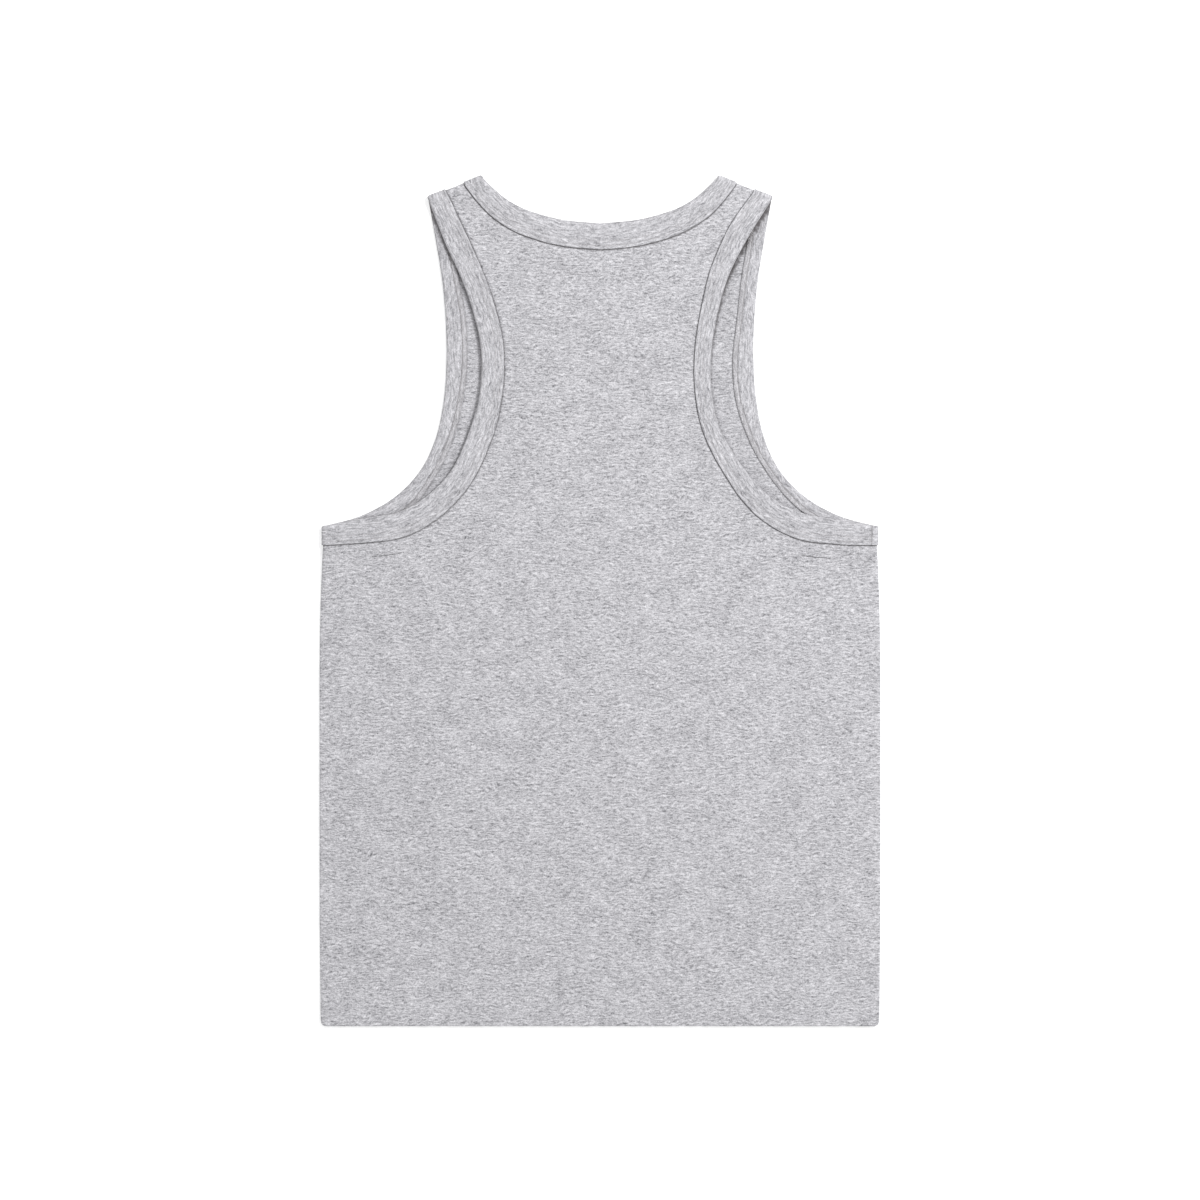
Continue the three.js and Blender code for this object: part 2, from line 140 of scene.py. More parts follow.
# How finely the walls are cut
ARM_STEPS = 270
NECK_STEPS = 100
COLUMNS = 40
HEM_ROWS = [0, 0.12, 0.35, 0.7, 1.2, 2.2, 3.5, 6, 10, 15, HEM_DEPTH, HEM_DEPTH + HEM_STEP]
FIRST_SIDE_ROW = 26
LAST_SIDE_ROW = 380
SIDE_ROWS = 70
FOLD_ANGLES = np.radians([12, 26, 40, 54, 68, 80, 90])
LEAST_RADIUS = 0.05  # of a fold's inside
TURN_LENGTH = 30  # over which a band turns towards the direction of its fold
STRIP_COLUMNS = 9
STRIP_SHARE = 0.3
STRIP_LEAST = 3
STRIP_MOST = 12
STRIP_SPREAD = 1.2  # how much wider the columns get away from the seam
SEAM_DIP = 0.45  # how far the cloth sinks beside a band's seam
SEAM_DIP_AT = 0.3
SEAM_DIP_WIDTH = 0.8

# Puckers of the panel beside a band
PUCKER_PITCH = 4.2
PUCKER_HEIGHT = 0.55
PUCKER_SHAPE = 6.75  # makes the envelope's crest 1
PUCKER_LEAST = 0.35
PUCKER_CHANGE = 26  # over which the puckers grow and shrink
PUCKER_ENDS = (2, 12)  # over which they start at a strip's end

# Stitching
ROWS_OUTSIDE = (3.0, 7.0)  # in from the band's seam edge
ROWS_INSIDE = (0.5, 4.3)  # in from the wide leg's end
ROWS_MIDDLE = 2.4  # between the two inside
STITCH_PITCH = 2.6
THREAD_RADIUS = 0.21
LOOPER_RADIUS = 0.15
TACK_INSET = 2.2  # of the armpit's tack, in from the band's pit end along the loop
GROOVE_DEPTH = 0.3
GROOVE_WIDTH = 0.75

# How deep the painted shade in the gap under the back's edge is, by the share of the way from the
# armpit to the shoulder, and how far it reaches there
CREVICE_SHADE = {
    -1: [(0, 0.0, 0.8), (0.08, 0.3, 0.8), (0.2, 0.42, 0.8), (0.35, 0.26, 0.8), (0.5, 0.2, 0.8),
         (0.7, 0.3, 1.0), (0.82, 0.55, 2.2), (1, 0.8, 3.4)],
    1: [(0, 0.0, 1.2), (0.3, 0.05, 1.2), (0.45, 0.18, 1.4), (0.6, 0.4, 1.5), (0.72, 0.72, 1.9),
        (0.82, 0.9, 3.0), (1, 0.92, 5.0)],
}
FAR = 50.0  # a mark's value where its line doesn't reach
FOLD_RADIUS = 3.0  # a fold's usual radius, for the marks
PANEL_MARKS = ("arm_seam", "neck_seam", "inner_seam", "crevice", "crevice_shade_depth", "rim")
BAND_MARKS = ("outer_in", "inner_in", "crevice", "crevice_shade_depth", "rim", "end_line")


def smooth(reach, value):
    """0 before a reach, 1 after it, and an easy slope between."""
    t = np.clip((value - reach[0]) / (reach[1] - reach[0]), 0, 1)
    return t * t * (3 - 2 * t)


def uneven(length, pitch, seed):
    """A smooth uneven line from 0 to 1, as a function of the distance along it."""
    rng = np.random.default_rng(seed)
    knots = rng.random(int(length / pitch) + 4)

    def at(s):
        place = np.asarray(s) / pitch
        low = np.clip(np.floor(place).astype(int), 0, len(knots) - 2)
        t = np.clip(place - low, 0, 1)
        t = t * t * (3 - 2 * t)
        return knots[low] * (1 - t) + knots[low + 1] * t

    return at


def spline(rows, steps):
    """A Catmull-Rom line through the rows, as evenly spaced stations."""
    rows = np.array(rows, float)
    padded = np.vstack([rows[:1], rows, rows[-1:]])
    t = np.linspace(0, len(rows) - 1, (len(rows) - 1) * 60 + 1)
    low = np.minimum(t.astype(int), len(rows) - 2)
    t = (t - low)[:, None]
    p0, p1, p2, p3 = (padded[low + k] for k in range(4))
    v0, v1 = (p2 - p0) / 2, (p3 - p1) / 2
    fine = (2 * p1 - 2 * p2 + v0 + v1) * t**3 + (3 * p2 - 3 * p1 - 2 * v0 - v1) * t**2 + v0 * t + p1
    run = np.concatenate([[0], np.cumsum(np.hypot(*np.diff(fine[:, :2], axis=0).T))])
    even = np.linspace(0, run[-1], steps + 1)
    return np.column_stack([np.interp(even, run, column) for column in fine.T]), even


def unit(v):
    return v / np.linalg.norm(v, axis=-1, keepdims=True)


STRAP = unit(np.array(SHOULDER_ARM) - np.array(SHOULDER_NECK))


def shoulder_outward(half):
    return np.array([-half * STRAP[1], STRAP[0]])


def shoulder_inward(half):
    return np.array([-half * STRAP[0], -STRAP[1]])


class Edge:
    """A bound edge of one layer, on one half: stations, ways in, widths and lengths along it."""

    def __init__(self, rows, half, turn, steps, last):
        line, self.run = spline(rows, steps)
        self.half = half
        self.point = line[:, :2] * [half, 1]
        self.width = line[:, 2]
        tangent = unit(np.gradient(self.point, axis=0))
        inward = np.column_stack([-tangent[:, 1], tangent[:, 0]]) * turn * half
        from_end = np.minimum(self.run, self.run[-1] - self.run)
        blend = np.clip(1 - from_end / TURN_LENGTH, 0, 1)[:, None]
        ends = np.where(self.run[:, None] < self.run[-1] / 2, [0.0, -1.0], last)
        self.inward = unit(inward * (1 - blend) + ends * blend)
        self.at_pit = np.clip(1 - self.run / TURN_LENGTH, 0, 1) if turn > 0 else 0 * self.run
        self.leg_end = self.width + LEG_EXTRA
        coarse = np.linspace(0, steps, 90).astype(int)
        self.chain = self.point[coarse]
        self.chain_width = self.width[coarse]
        self.chain_inward = self.inward[coarse]

    def past_seam(self, x, y):
        """Distance from points to the edge, less the band's width there."""
        shape = np.shape(x)
        p = np.column_stack([np.ravel(x), np.ravel(y)])
        nearest = np.full(len(p), np.inf)
        past = np.full(len(p), np.inf)
        for a, b, wa, wb in zip(self.chain, self.chain[1:], self.chain_width, self.chain_width[1:]):
            d = b - a
            t = np.clip((p - a) @ d / (d @ d), 0, 1)
            distance = np.hypot(*(p - a - t[:, None] * d).T)
            closer = distance < nearest
            nearest[closer] = distance[closer]
            past[closer] = (distance - (wa + (wb - wa) * t))[closer]
        return past.reshape(shape)

    def off_edge(self, x, y):
        """Distance of points outside the edge, below 0 inside it, and how far along it they lie."""
        shape = np.shape(x)
        p = np.column_stack([np.ravel(x), np.ravel(y)])
        nearest = np.full(len(p), np.inf)
        outside, share = np.zeros(len(p)), np.zeros(len(p))
        count = len(self.chain) - 1
        for k in range(count):
            d = self.chain[k + 1] - self.chain[k]
            t = np.clip((p - self.chain[k]) @ d / (d @ d), 0, 1)
            off = p - self.chain[k] - t[:, None] * d
            distance = np.hypot(*off.T)
            closer = distance < nearest
            nearest[closer] = distance[closer]
            outside[closer] = (-np.sign(off @ self.chain_inward[k]) * distance)[closer]
            share[closer] = ((k + t) / count)[closer]
        return outside.reshape(shape), share.reshape(shape)


EDGES = {}
for half in (-1, 1):
    back_rows = BACK_ARM_LEFT if half < 0 else BACK_ARM_RIGHT
    front_rows = FRONT_ARM_LEFT if half < 0 else FRONT_ARM_RIGHT
    off_strap = shoulder_inward(half)
    EDGES["back", "arm", half] = Edge(back_rows, half, 1, ARM_STEPS, off_strap)
    EDGES["front", "arm", half] = Edge(front_rows, half, 1, ARM_STEPS, off_strap)
    EDGES["back", "neck", half] = Edge(BACK_NECK, half, -1, NECK_STEPS, -off_strap)
    EDGES["front", "neck", half] = Edge(FRONT_NECK, half, -1, NECK_STEPS, -off_strap)


def band_lift(layer, x, y, arm_reach, neck_reach):
    """1 where a layer's bands lie, fading to 0 past their seams."""
    total = np.zeros(np.shape(x))
    for half in (-1, 1):
        arm = 1 - smooth(arm_reach, EDGES[layer, "arm", half].past_seam(x, y))
        neck = 1 - smooth(neck_reach, EDGES[layer, "neck", half].past_seam(x, y))
        outward = shoulder_outward(half)
        below = (half * SHOULDER_ARM[0] - x) * outward[0] + (SHOULDER_ARM[1] - y) * outward[1]
        strap = 1 - smooth(SHOULDER_REACH, below)
        own = (arm**BLEND_POWER + neck**BLEND_POWER + strap**BLEND_POWER) ** (1 / BLEND_POWER)
        side = np.sign(x) * half > 0
        total = np.where(side | ((np.abs(x) < 1e-6) & (half > 0)), np.minimum(own, 1), total)
    return total


def swell(x, y):
    height = np.zeros(np.shape(x))
    for cx, cy, length, width, rise, turn in SWELLS:
        c, s = np.cos(np.radians(turn)), np.sin(np.radians(turn))
        along = (x - cx) * c + (y - cy) * s
        across = (y - cy) * c - (x - cx) * s
        height += rise * np.exp(-((2 * along / length) ** 2) - (across / width) ** 2 * 2)
    return height


def middle(layer, x, y):
    """Height of a panel's middle surface."""
    if layer == "front":
        return FRONT_LOW + FRONT_LIFT * band_lift("front", x, y, OWN_REACH, OWN_REACH)
    hem = 1 - smooth((HEM_DEPTH + HEM_STEP, HEM_DEPTH + HEM_STEP + HEM_FADE), y)
    over = band_lift("front", x, y, ARM_REACH, NECK_REACH)
    inside = smooth(SWELL_FROM_SIDE, HALF_CHEST - np.abs(x)) * smooth(SWELL_FROM_HEM, y)
    return (
        BACK_LOW
        + BACK_OVER_BAND * over
        + BACK_OWN_BAND * band_lift("back", x, y, OWN_REACH, OWN_REACH)
        + BACK_OVER_HEM * hem
        + swell(x, y) * inside * (1 - SWELL_HELD * over)
    )


def crevice_at(half, x, y):
    """Distance outside the back layer's edge by the gap's reach, and how deep the painted shade in the
    gap is.
    """
    outside, share = EDGES["back", "arm", half].off_edge(x, y)
    at, depth, reach = np.array(CREVICE_SHADE[half]).T
    return outside / np.interp(share, at, reach), np.interp(share, at, depth)


OUTSIDE = {"front": -1, "back": 1}


def fold_at(x, y):
    """Radius and centre height of the half circle that joins the two layers."""
    low, high = middle("front", x, y), middle("back", x, y)
    return (high - low) / 2, (high + low) / 2


SIDE_TABLE = np.array(SIDE, float)
SIDE_HEIGHTS = np.unique(np.concatenate([np.arange(0, PIT[1], 1.0), SIDE_TABLE[:, 0]]))
SIDE_HALVES = np.interp(SIDE_HEIGHTS, *SIDE_TABLE.T)
SIDE_LINE = {}
for half in (-1, 1):
    radius, _ = fold_at(half * SIDE_HALVES, SIDE_HEIGHTS)
    SIDE_LINE[half] = half * (SIDE_HALVES - radius - PANEL_WALL / 2)


def side_line(half, y):
    return np.interp(y, SIDE_HEIGHTS, SIDE_LINE[half])


def in_from(edge, n):
    """Points at distances in from an edge's stations, drawn to the side's fold line at the pit."""
    p = edge.point[:, None] + edge.inward[:, None] * n[..., None]
    shift = side_line(edge.half, p[..., 1]) - edge.half * PIT[0]
    p[..., 0] += shift * edge.at_pit[:, None]
    return p


def hem_round(y):
    """How much of the wall's half thickness is left at the hem's rounded fold."""
    radius = (PANEL_WALL + HEM_PLY) / 2
    return np.sqrt(np.clip(1 - np.clip(1 - y / radius, 0, 0.995) ** 2, 0.002, 1))


def wall_sides(y):
    """Distances of the outside and inside faces from the middle surface."""
    ply = HEM_PLY * (1 - smooth((HEM_DEPTH, HEM_DEPTH + HEM_STEP), y))
    core = -ply / 2
    half = (PANEL_WALL + ply) / 2 * hem_round(y)
    return core + half, core - half


def wall(layer, p, lift=0, dip=0):
    """Outside and inside points of a panel's wall, and where they lie on the cloth."""
    x, y = p[..., 0], p[..., 1]
    z = middle(layer, x, y) + lift
    out, back = wall_sides(y)
    side = OUTSIDE[layer]
    outer = np.stack([x, y, z + side * (out - dip)], -1)
    inner = np.stack([x, y, z + side * back], -1)
    return np.stack([outer, inner], -2), p.copy()


def folded(layer, p, outward, angles):
    """The same over a fold, one row for each angle from flat."""
    x, y = p[:, 0], p[:, 1]
    radius, centre = fold_at(x, y)
    out, back = wall_sides(y)
    rows, places = [], []
    for angle in angles:
        faces = []
        for r in (radius + out, np.maximum(radius + back, LEAST_RADIUS)):
            z = centre + OUTSIDE[layer] * np.maximum(r * np.cos(angle), SEAM_GAP / 2)
            sine = np.sin(angle)
            faces.append(np.column_stack([x + outward[0] * r * sine, y + outward[1] * r * sine, z]))
        rows.append(np.stack(faces, -2))
        places.append(p + outward * (radius * angle)[:, None])
    return np.array(rows), np.array(places)


def panel_marks(layer, half, p, arm=None, neck=None):
    """Marks of the outside and inside of a panel's wall: distances that its material draws painted
    shade lines by.
    """
    x, y = p[..., 0], p[..., 1]
    arm = EDGES[layer, "arm", half].past_seam(x, y) if arm is None else arm
    neck = EDGES[layer, "neck", half].past_seam(x, y) if neck is None else neck
    far = np.full(x.shape, FAR)
    outside, depth = crevice_at(half, x, y) if layer == "front" else (far, 0 * far)
    outer = np.stack([arm, neck, far, far, 0 * far, far], -1)
    inner = np.stack([far, far, arm - LEG_EXTRA, outside, depth, far], -1)
    return np.stack([outer, inner], -2)


def fold_marks(row, angles):
    """One row's marks carried over a fold, with the distance from the fold's crest."""
    marks = np.repeat(row[None], len(angles), 0)
    marks[..., 0, -1] = (FOLD_RADIUS * (np.pi / 2 - np.asarray(angles)))[:, None]
    return marks


class Grid:
    """A patch of wall: rows of outside and inside points, their places on the cloth and marks."""

    def __init__(self, points, places, marks, flip=False):
        step = -1 if flip else 1
        self.points = points[:, ::step]
        self.places = places[:, ::step]
        self.marks = marks[:, ::step]


def make_object(name, verts, faces, corner_uv, material, marks=()):
    mesh = bpy.data.meshes.new(name)
    mesh.from_pydata(verts.tolist(), [], faces)
    for title, values in dict(marks).items():
        mark = mesh.attributes.new(title, "FLOAT", "POINT")
        mark.data.foreach_set("value", np.asarray(values, np.float32))
    layer = mesh.uv_layers.new(name="cloth")
    layer.uv.foreach_set("vector", np.asarray(corner_uv, np.float32).ravel())
    mesh.polygons.foreach_set("use_smooth", np.ones(len(faces), bool))
    mesh.materials.append(material)
    mesh.validate()
    mesh.update()
    obj = bpy.data.objects.new(name, mesh)
    bpy.context.collection.objects.link(obj)
    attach(obj, "root")
    return obj


def to_frame(points):
    return (points + [0, HEM_LINE, 0]) * MM


def wall_object(name, grids, material):
    """A closed wall: both faces of every patch, and a rim along every free edge."""
    points = np.concatenate([g.points.reshape(-1, 2, 3) for g in grids])
    places = np.concatenate([g.places.reshape(-1, 2) for g in grids])
    marks = np.concatenate([g.marks.reshape(-1, 2, len(PANEL_MARKS)) for g in grids])
    quads, start = [], 0
    for g in grids:
        rows, columns = g.places.shape[:2]
        ids = np.arange(start, start + rows * columns).reshape(rows, columns)
        around = [ids[:-1, :-1], ids[:-1, 1:], ids[1:, 1:], ids[1:, :-1]]
        quads.append(np.stack(around, -1).reshape(-1, 4))
        start += rows * columns
    keys = np.round(points[:, 0] * 100).astype(np.int64)
    _, first, where = np.unique(keys, axis=0, return_index=True, return_inverse=True)
    where = where.ravel()
    quads = where[np.concatenate(quads)]
    points, places, marks = points[first], places[first], marks[first]
    count = len(points)
    sides = np.concatenate([quads[:, [0, 1]], quads[:, [1, 2]], quads[:, [2, 3]], quads[:, [3, 0]]])
    sides = sides[sides[:, 0] != sides[:, 1]]
    codes = sides[:, 0] * count + sides[:, 1]
    free = sides[~np.isin(codes, sides[:, 1] * count + sides[:, 0])]
    rim = np.column_stack([free[:, 1], free[:, 0], free[:, 0] + count, free[:, 1] + count])
    faces = np.concatenate([quads, quads[:, ::-1] + count, rim])
    verts = np.concatenate([points[:, 0], points[:, 1]])
    uv = np.concatenate([places, places])
    marks = dict(zip(PANEL_MARKS, np.concatenate([marks[:, 0], marks[:, 1]]).T))
    clean = [list(dict.fromkeys(face)) for face in faces.tolist()]
    clean = [face for face in clean if len(face) > 2]
    corner_uv = uv[[v for face in clean for v in face]]
    return make_object(name, to_frame(verts), clean, corner_uv, material, marks)


def strip(layer, kind, half, seed):
    """The wall beside a bound edge: under the band, then past its seam with small puckers."""
    edge = EDGES[layer, kind, half]
    across = EDGES[layer, "neck" if kind == "arm" else "arm", half]
    clear = across.past_seam(*edge.point.T) - edge.width - 2 * LEG_EXTRA
    reach = np.clip(clear * STRIP_SHARE, STRIP_LEAST, STRIP_MOST)
    w = edge.width
    under = [RAW_EDGE + 0 * w, w / 2, w - 0.8, w - 0.1, w + 0.45, edge.leg_end]
    shares = [(k / STRIP_COLUMNS) ** STRIP_SPREAD for k in range(1, STRIP_COLUMNS + 1)]
    beside = [edge.leg_end + reach * share for share in shares]
    n = np.column_stack(under + beside)
    p = in_from(edge, n)
    share = np.clip((n - w[:, None]) / (reach + LEG_EXTRA)[:, None], 0, 1)
    envelope = PUCKER_SHAPE * share * (1 - share) ** 2
    puckers = uneven(edge.run[-1], PUCKER_PITCH, seed)(edge.run)
    depth = uneven(edge.run[-1], PUCKER_CHANGE, seed + 1)(edge.run)
    depth = PUCKER_LEAST + (1 - PUCKER_LEAST) * depth
    # A seam's puckers fade out where two strips meet.
    ends = smooth(PUCKER_ENDS, np.minimum(edge.run, edge.run[-1] - edge.run))
    lift = PUCKER_HEIGHT * envelope * (puckers * depth * ends)[:, None]
    dip = SEAM_DIP * np.exp(-(((n - w[:, None] - SEAM_DIP_AT) / SEAM_DIP_WIDTH) ** 2))
    marks = panel_marks(layer, half, p, **{kind: n - w[:, None]})
    # Under the band the wall is straight, so that the band's two legs lie along it.
    points, places = wall(layer, p, lift, dip)
    legs = len(under) - 1
    along = ((n[:, : legs + 1] - RAW_EDGE) / (edge.leg_end - RAW_EDGE)[:, None])[..., None]
    z = points[:, : legs + 1, :, 2] - lift[:, : legs + 1, None]
    dips = np.stack([-OUTSIDE[layer] * dip, 0 * dip], -1)[:, : legs + 1]
    z = z - dips
    straight = z[:, :1] * (1 - along) + z[:, legs : legs + 1] * along
    points[:, : legs + 1, :, 2] = straight + dips + lift[:, : legs + 1, None]
    top_points, top_places = folded(layer, p[-1], shoulder_outward(half), FOLD_ANGLES)
    points, places = np.concatenate([points, top_points]), np.concatenate([places, top_places])
    low_marks = fold_marks(marks[0], FOLD_ANGLES[::-1])
    marks = np.concatenate([marks, fold_marks(marks[-1], FOLD_ANGLES)])
    if kind == "arm":
        low_points, low_places = folded(layer, p[0], np.array([half, 0.0]), FOLD_ANGLES[::-1])
        points, places = np.concatenate([low_points, points]), np.concatenate([low_places, places])
        marks = np.concatenate([low_marks, marks])
    return points, places, marks, p[:, -1]


def panel(layer, name, seed, material):
    grids = []
    for half in (-1, 1):
        *arm_strip, arm_ends = strip(layer, "arm", half, seed + 10 * half)
        *neck_strip, neck_ends = strip(layer, "neck", half, seed + 10 * half + 5)
        row_step = (LAST_SIDE_ROW - FIRST_SIDE_ROW) / SIDE_ROWS
        low = HEM_ROWS + list(np.arange(FIRST_SIDE_ROW, LAST_SIDE_ROW + 1, row_step))
        side = np.column_stack([side_line(half, np.array(low)), low])
        climb = ARM_STEPS - NECK_STEPS
        rise = np.linspace(LAST_SIDE_ROW, neck_ends[0, 1], climb + 2)[1:-1]
        centre = np.column_stack([0 * np.array(low), low])
        centre_high = np.column_stack([0 * rise, rise])
        outer = np.concatenate([side, arm_ends])
        inner = np.concatenate([centre, centre_high, neck_ends])
        share = np.linspace(0, 1, COLUMNS + 1)[None, :, None]
        p = outer[:, None] * (1 - share) + inner[:, None] * share
        flip = (half < 0) != (layer == "front")
        marks = panel_marks(layer, half, p)
        grids.append(Grid(*wall(layer, p), marks, flip))
        hang = np.concatenate([side, arm_ends[:1]])
        flat_points, flat_places = wall(layer, hang)
        points, places = folded(layer, hang, np.array([half, 0.0]), FOLD_ANGLES)
        points = np.concatenate([flat_points[None], points]).swapaxes(0, 1)
        places = np.concatenate([flat_places[None], places]).swapaxes(0, 1)
        side_marks = fold_marks(panel_marks(layer, half, hang), [0.0, *FOLD_ANGLES]).swapaxes(0, 1)
        grids.append(Grid(points, places, side_marks, not flip))
        flat_points, flat_places = wall(layer, p[-1])
        points, places = folded(layer, p[-1], shoulder_outward(half), FOLD_ANGLES)
        points = np.concatenate([flat_points[None], points])
        places = np.concatenate([flat_places[None], places])
        grids.append(Grid(points, places, fold_marks(marks[-1], [0.0, *FOLD_ANGLES]), flip))
        grids.append(Grid(*arm_strip, flip))
        grids.append(Grid(*neck_strip, not flip))
    return wall_object(name, grids, material)


class Band:
    """A binding's closed loop of rings, from its own edge tables, and any point of its section."""

    FIELDS = ("point", "inward", "outward", "width", "pit", "cos", "sin", "radius", "centre")

    def __init__(self, stretches):
        parts = [self.stretch(*s) for s in stretches]
        for k, field in enumerate(self.FIELDS):
            setattr(self, field, np.concatenate([part[k] for part in parts]))
        self.half = np.concatenate([part[-1] for part in parts])
        self.leg_end = self.width + LEG_EXTRA
        mid = self.at(np.full(len(self.width), 9.0)[:, None], np.zeros((len(self.width), 1)))[:, 0]
        steps = np.linalg.norm(np.roll(mid, -1, 0) - mid, axis=1)
        self.run = np.concatenate([[0], np.cumsum(steps)])

    def stretch(self, edge, layer, pick, outward=None, angles=None):
        """Rings at an edge's stations, or turned over a fold at one of them."""
        count = len(pick) if angles is None else len(angles)
        take = pick if angles is None else np.full(count, pick)
        point, inward = edge.point[take], edge.inward[take]
        width, pit = edge.width[take], edge.at_pit[take]
        legs = np.column_stack([0 * width + RAW_EDGE, width + LEG_EXTRA])
        p = point[:, None] + inward[:, None] * legs[..., None]
        p[..., 0] += (side_line(edge.half, p[..., 1]) - edge.half * PIT[0]) * pit[:, None]
        if angles is None:
            radius = 0 * legs
            centre = middle(layer, p[..., 0], p[..., 1])
            cos = np.full(count, float(OUTSIDE[layer]))
            sin = 0 * cos
            outward = np.array([0.0, 0.0])
        else:
            radius, centre = fold_at(p[..., 0], p[..., 1])
            cos, sin = np.cos(angles), np.sin(angles)
        out = np.tile(outward, (count, 1))
        return point, inward, out, width, pit, cos, sin, radius, centre, np.full(count, edge.half)

    def at(self, n, b, rings=slice(None)):
        """Points at distances n in from the folded edge and b off the panel's middle."""
        share = np.clip((n - RAW_EDGE) / (self.width[rings] + LEG_EXTRA - RAW_EDGE)[:, None], 0, None)
        radius = self.radius[rings, :1] * (1 - share) + self.radius[rings, 1:] * share
        centre = self.centre[rings, :1] * (1 - share) + self.centre[rings, 1:] * share
        p = self.point[rings, None] + self.inward[rings, None] * n[..., None]
        for half in (-1, 1):
            here = (self.half[rings] == half)[:, None] * self.pit[rings][:, None]
            p[..., 0] += (side_line(half, p[..., 1]) - half * PIT[0]) * here
        p = p + self.outward[rings, None] * ((radius + b) * self.sin[rings][:, None])[..., None]
        z = centre + (radius + b) * self.cos[rings][:, None]
        return np.concatenate([p, z[..., None]], -1)


FOLD_IN = 2.4  # how far in from its folded edge a band becomes flat
LAST_INSET = 8.2  # of the outside's fine columns, in from the seam
WRONG_INSET = 6  # of the inside's fine columns, in from the leg's end


def section(width, wander):
    """The band's outline at every ring: n in from the folded edge, b off the panel's middle."""
    columns = []

    def add(n, b):
        columns.append((n + 0 * width, b + 0 * width))

    def groove(n, rows, end):
        return GROOVE_DEPTH * sum(np.exp(-(((end - row - n) / GROOVE_WIDTH) ** 2)) for row in rows)

    seam = width + wander
    wrong = width + LEG_EXTRA
    for drop in (0.0, 30.0, 60.0, 90.0):
        a = np.radians(90 - drop)
        add(seam - 0.5 + 0.5 * np.sin(a), BAND_LEVEL - 0.5 + 0.5 * np.cos(a))
    for inset in (1.3, 2.0, 2.5, 3.0, 3.5, 4.1, 5.0, 5.9, 6.5, 7.0, 7.5, LAST_INSET):
        n = seam - inset
        add(n, BAND_LEVEL - groove(n, ROWS_OUTSIDE, seam))
    for share in (0.75, 0.5, 0.25):
        add(FOLD_IN + (seam - LAST_INSET - FOLD_IN) * share, BAND_LEVEL)
    for a in np.radians([90, 66, 44, 22, 0, -22, -44, -66, -90]):
        add(FOLD_IN * (1 - np.cos(a)), BAND_LEVEL * np.sin(a))
    for share in (0.3, 0.6):
        add(FOLD_IN + (wrong - WRONG_INSET - FOLD_IN) * share, -BAND_LEVEL)
    for inset in (5.6, 4.9, 4.3, 3.7, 3.0, 1.9, 1.0, 0.5, 0.0):
        n = wrong - inset
        add(n, -BAND_LEVEL + groove(n, ROWS_INSIDE, wrong))
    add(wrong, -LEG_LEVEL)
    add(BAND_WALL, -LEG_LEVEL)
    add(BAND_WALL, LEG_LEVEL)
    add(seam - 0.02, LEG_LEVEL)
    n, b = (np.column_stack([column[k] for column in columns]) for k in (0, 1))
    return n, b


ROLL_RADIUS = 2.1  # of a band's folded edge, for the marks
ROLL_END = 2.35
ROLL_LENGTH = 3.3


def band_marks(band, outline, seam, rings, arm, ended):
    """Marks of a band's rings: distances that its material draws painted shade lines by.

    An arm's band lies in the gap under the back's edge. An ended band has a tack at its pit end.
    """
    n, b = outline
    above = b >= 0
    seam, wrong = seam[:, None], band.leg_end[:, None]
    outer_in = np.where(above, seam - n, seam + n)
    inner_in = np.where(above, wrong + n, wrong - n)
    outside, depth = np.full(n.shape, FAR), 0 * n
    for half in (-1, 1):
        here = (band.half == half) & (band.cos < 0)
        if arm and here.any():
            outside[here], depth[here] = crevice_at(half, rings[here, :, 0], rings[here, :, 1])
    depth = depth * np.clip(-band.cos, 0, 1)[:, None] * ~above
    along = np.where(band.run[:-1] < band.run[-1] / 2, band.run[:-1], band.run[:-1] - band.run[-1])
    end_line = np.where(ended, along, FAR)[:, None] + 0 * n
    arc = ROLL_RADIUS * np.arcsin(np.clip(np.abs(b) / BAND_LEVEL, 0, 1))
    rim = np.where(n < ROLL_END, arc, ROLL_LENGTH + np.clip(n - ROLL_END, 0, None))
    over = np.clip(np.abs(band.sin), 0, 1)
    crest = FOLD_RADIUS * np.arccos(over) + np.where(over > 0.01, 0, FAR)
    rim = np.minimum(rim, crest[:, None])
    values = [outer_in, inner_in, outside, depth, rim, end_line]
    return dict(zip(BAND_MARKS, [v.ravel() for v in values]))


def ring_object(name, rings, run, material, marks):
    """A closed loop of closed outlines, with the cloth's length along the loop."""
    count, size = rings.shape[:2]
    around = np.linalg.norm(np.roll(rings, -1, 1) - rings, axis=2)
    around = np.concatenate([np.zeros((count, 1)), np.cumsum(around, 1)], 1)
    ids = np.arange(count * size).reshape(count, size)
    nxt = np.roll(ids, -1, 0)
    faces = np.stack([ids, np.roll(ids, -1, 1), np.roll(nxt, -1, 1), nxt], -1)
    u = np.broadcast_to(run[:, None], (count + 1, size + 1))
    v = np.concatenate([around, around[:1]])
    grid = np.stack([u, v], -1)
    uv = np.stack([grid[:-1, :-1], grid[:-1, 1:], grid[1:, 1:], grid[1:, :-1]], 2)
    return make_object(name, to_frame(rings.reshape(-1, 3)), faces.reshape(-1, 4)[:, ::-1].tolist(),
                       uv[:, :, ::-1].reshape(-1, 2), material, marks)


OVER = np.radians([15, 30, 45, 60, 75, 90, 105, 120, 135, 150, 165])


def arm_band(half):
    back, front = EDGES["back", "arm", half], EDGES["front", "arm", half]
    every = np.arange(ARM_STEPS + 1)
    return Band([
        (back, "back", every),
        (back, "back", ARM_STEPS, shoulder_outward(half), OVER),
        (front, "front", every[::-1]),
        (back, "back", 0, np.array([half, 0.0]), OVER[::-1]),
    ])


